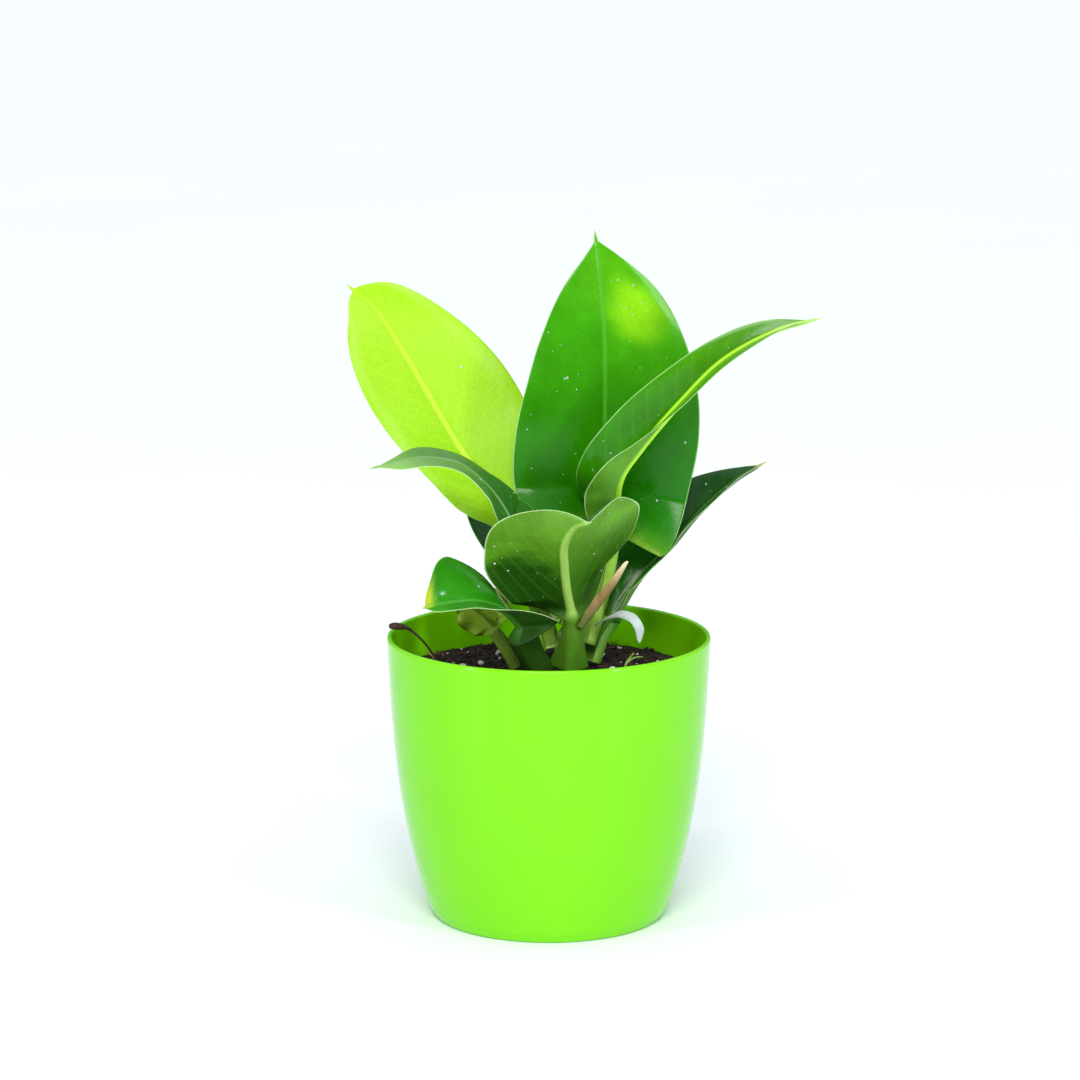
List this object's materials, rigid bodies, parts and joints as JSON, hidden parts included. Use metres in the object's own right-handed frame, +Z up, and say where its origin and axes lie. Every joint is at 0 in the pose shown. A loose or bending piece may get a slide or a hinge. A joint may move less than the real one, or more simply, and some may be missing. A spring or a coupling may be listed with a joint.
{
  "type": "potted foliage plant",
  "caption": "Young broad-leaved foliage plant with glossy green and lime leaves round a short crown, in a tapered glossy plastic pot of potting mix.",
  "frame": {"origin": "middle of the pot's underside, on the surface it stands on", "axes": "+Z up along the pot's axis; -Y is the front, from which the cupped front leaf shows its underside; +X to the right"},
  "size_m": [0.1889, 0.128, 0.27],
  "materials": {
    "pot_plastic": "glossy injection-moulded polypropylene, lime green",
    "potting_mix": "damp dark coir and peat, matt and fibrous",
    "stem_skin": "smooth green skin",
    "leaf_lime": "waxy young leaf, lime",
    "leaf_green": "waxy mature leaf, deep green, glossy above",
    "leaf_olive": "ageing leaf, olive, browned edge",
    "bud_scale_tan": "dry papery bud scale, tan",
    "bud_scale_white": "dry papery bud scale, silvery white",
    "dark_twig": "dry bark, dark brown",
    "seedling_green": "thin fresh stalk",
    "dry_straw": "dry straw",
    "perlite": "white expanded perlite, matt"
  },
  "bodies": {
    "root": {"pot": "pot_plastic", "soil": "potting_mix", "stem": "stem_skin", "leaf_lime": "leaf_lime", "leaf_upright": "leaf_green", "leaf_right_arched": "leaf_green", "leaf_left_arched": "leaf_green", "leaf_front": "leaf_green", "leaf_right_rear": "leaf_green", "leaf_left_low": "leaf_green", "leaf_left_rear": "leaf_green", "leaf_old_small": "leaf_olive", "bud_scale_tan": "bud_scale_tan", "bud_scale_white": "bud_scale_white", "bud_scale_small": "bud_scale_tan", "dry_twig": "dark_twig", "seedling": "seedling_green", "straw_1": "dry_straw", "straw_2": "dry_straw", "straw_3": "dry_straw", "perlite_01": "perlite", "perlite_02": "perlite", "perlite_03": "perlite", "perlite_04": "perlite", "perlite_05": "perlite", "perlite_06": "perlite", "perlite_07": "perlite", "perlite_08": "perlite", "perlite_09": "perlite", "perlite_10": "perlite", "perlite_11": "perlite", "perlite_12": "perlite"}
  },
  "joints": []
}
